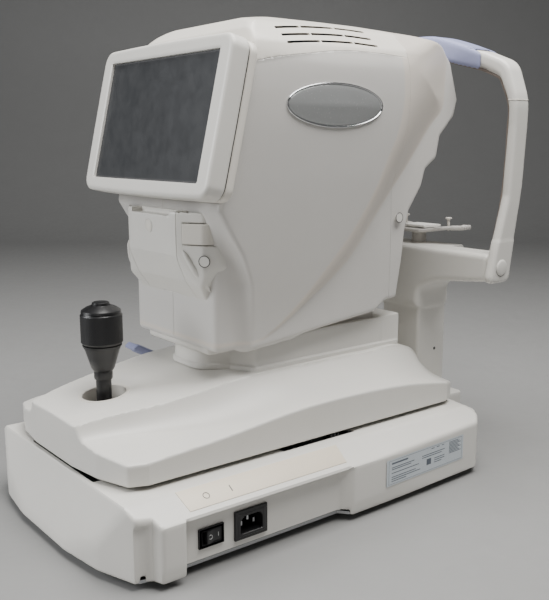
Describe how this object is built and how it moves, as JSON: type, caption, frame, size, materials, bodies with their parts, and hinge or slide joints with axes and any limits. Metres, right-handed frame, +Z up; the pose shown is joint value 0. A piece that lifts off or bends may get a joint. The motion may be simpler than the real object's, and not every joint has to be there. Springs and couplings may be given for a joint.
{
  "type": "autorefractor",
  "caption": "Table-top autorefractor: measuring head with screen and printer on a joystick-driven sliding stage, with a chin and forehead rest.",
  "frame": {"origin": "bottom centre of the whole instrument's box, on the surface that the feet stand on", "axes": "+Z up, +Y towards the patient's headrest, -Y towards the operator, +X to the operator's right"},
  "size_m": [0.315, 0.537, 0.491],
  "materials": {
    "ivory_plastic": "fine moulded satin, warm off-white",
    "silver_plastic": "pearl silver paint, low gloss",
    "cream_plastic": "smooth satin, cream",
    "black_plastic": "fine texture, black",
    "lilac_rubber": "soft satin, lilac blue",
    "black_rubber": "matt",
    "steel": "ground",
    "polished_steel": "polished shafts",
    "brass": "machined",
    "aluminium": "cast, lightly blasted",
    "screen_glass": "glossy dark screen",
    "badge": "silver domed",
    "label": "printed plate, pale blue-grey",
    "paper": "paper",
    "circuit_board": "solder mask green",
    "lens_black": "anodised black barrel with coated glass",
    "liner": "dark brown-grey liner"
  },
  "bodies": {
    "base": {"base_plate": "steel", "base_housing": "ivory_plastic", "chassis_tray": "aluminium", "rubber_feet": "black_rubber", "axle_racks": "brass", "friction_plate": "black_plastic", "power_supply": "aluminium", "mains_inlet": "black_plastic", "inlet_pins": "steel", "switch_frame": "black_plastic", "edge_strips": "cream_plastic", "rating_plate": "label", "data_sockets": "black_plastic", "headrest_column": "ivory_plastic", "chin_beam": "ivory_plastic", "headrest_arch": "ivory_plastic", "arch_liner": "liner", "forehead_pad": "lilac_rubber", "pivot_caps": "ivory_plastic", "chin_motor": "black_plastic"},
    "rocker": {"power_rocker": "black_plastic"},
    "chin_screw": {"chin_screw": "polished_steel"},
    "chinrest": {"chinrest": "silver_plastic", "chin_paper_pad": "paper"},
    "pin_left": {"paper_pin_left": "cream_plastic"},
    "pin_right": {"paper_pin_right": "cream_plastic"},
    "carriage": {"axle_carrier": "aluminium"},
    "axle": {"cross_axle": "polished_steel", "axle_pinions": "brass"},
    "deck": {"deck_cover": "ivory_plastic", "deck_plate": "steel", "axle_bushes": "aluminium", "guide_posts": "polished_steel", "lift_motor": "black_plastic", "lower_collar": "ivory_plastic"},
    "lift_screw": {"lift_screw": "polished_steel"},
    "lock_lever": {"lock_lever": "lilac_rubber"},
    "gimbal": {"gimbal_ring": "steel"},
    "joystick": {"joystick_stem": "black_plastic", "joystick_grip": "black_plastic"},
    "grip_ring": {"grip_ring": "black_plastic"},
    "measure_button": {"measure_button": "black_plastic"},
    "head": {"optical_bench": "aluminium", "upper_collar": "silver_plastic", "left_cover": "silver_plastic", "right_cover": "silver_plastic", "top_cover": "ivory_plastic", "rear_cover": "ivory_plastic", "nose_cover": "ivory_plastic", "printer_frame": "steel", "monitor_bezel": "ivory_plastic", "monitor_back": "silver_plastic", "screen_panel": "screen_glass", "badges": "badge", "lens_group": "lens_black", "main_board": "circuit_board"},
    "printer_door": {"printer_door": "ivory_plastic"},
    "door_button": {"door_button": "cream_plastic"},
    "paper_roll": {"paper_roll": "paper"},
    "platen": {"platen_roller": "black_rubber"}
  },
  "joints": [
    {"name": "stage_forward", "type": "slide", "parent": "base", "child": "carriage", "axis": [0, 1, 0], "range_m": [-0.036, 0.002]},
    {"name": "axle_roll", "type": "hinge", "parent": "carriage", "child": "axle", "pos_m": [0, 0.0015, 0.064], "axis": [1, 0, 0], "range_deg": [-40, 205]},
    {"name": "stage_side", "type": "slide", "parent": "carriage", "child": "deck", "axis": [1, 0, 0], "range_m": [-0.035, 0.051]},
    {"name": "head_lift", "type": "slide", "parent": "deck", "child": "head", "axis": [0, 0, 1], "range_m": [-0.015, 0.015]},
    {"name": "lift_screw_turn", "type": "hinge", "parent": "deck", "child": "lift_screw", "pos_m": [-0.008, 0.0415, 0.2], "axis": [0, 0, 1], "range_deg": [-1400, 1400]},
    {"name": "stage_lock", "type": "hinge", "parent": "deck", "child": "lock_lever", "pos_m": [-0.104, -0.0765, 0.117], "axis": [1, 0, 0], "range_deg": [-50, 0]},
    {"name": "joystick_fore_aft", "type": "hinge", "parent": "deck", "child": "gimbal", "pos_m": [-0.008, -0.1943, 0.092], "axis": [1, 0, 0], "range_deg": [-12, 12]},
    {"name": "joystick_left_right", "type": "hinge", "parent": "gimbal", "child": "joystick", "pos_m": [-0.008, -0.1943, 0.092], "axis": [0, 1, 0], "range_deg": [-12, 12]},
    {"name": "height_ring", "type": "hinge", "parent": "joystick", "child": "grip_ring", "pos_m": [-0.008, -0.1943, 0.19], "axis": [0, 0, 1], "continuous": true},
    {"name": "measure_press", "type": "slide", "parent": "joystick", "child": "measure_button", "axis": [0, 0, -1], "range_m": [0, 0.0025], "stiffness_N_per_m": 500, "springref_m": -0.002},
    {"name": "printer_door_open", "type": "hinge", "parent": "head", "child": "printer_door", "pos_m": [-0.008, -0.1135, 0.2224], "axis": [1, 0, 0], "range_deg": [0, 70]},
    {"name": "door_release", "type": "slide", "parent": "head", "child": "door_button", "axis": [0, 1, 0], "range_m": [0, 0.002], "stiffness_N_per_m": 500, "springref_m": -0.002},
    {"name": "platen_turn", "type": "hinge", "parent": "head", "child": "platen", "pos_m": [-0.008, -0.1165, 0.291], "axis": [1, 0, 0], "continuous": true},
    {"name": "paper_turn", "type": "hinge", "parent": "head", "child": "paper_roll", "pos_m": [-0.008, -0.1005, 0.262], "axis": [1, 0, 0], "continuous": true},
    {"name": "chin_height", "type": "slide", "parent": "base", "child": "chinrest", "axis": [0, 0, 1], "range_m": [-0.01, 0.05]},
    {"name": "chin_screw_turn", "type": "hinge", "parent": "base", "child": "chin_screw", "pos_m": [0, 0.2435, 0.15], "axis": [0, 0, 1], "range_deg": [-725, 3605]},
    {"name": "left_pin_pull", "type": "slide", "parent": "chinrest", "child": "pin_left", "axis": [0, 0, 1], "range_m": [0, 0.02]},
    {"name": "right_pin_pull", "type": "slide", "parent": "chinrest", "child": "pin_right", "axis": [0, 0, 1], "range_m": [0, 0.02]},
    {"name": "power_switch", "type": "hinge", "parent": "base", "child": "rocker", "pos_m": [0.139, -0.1755, 0.032], "axis": [0, 0, 1], "range_deg": [-16, 0]}
  ],
  "couplings": [
    {"joint": "axle_roll", "follows": "stage_forward", "rad_per_m": -95.238},
    {"joint": "lift_screw_turn", "follows": "head_lift", "rad_per_m": 1570.8},
    {"joint": "chin_screw_turn", "follows": "chin_height", "rad_per_m": 1256.6}
  ]
}
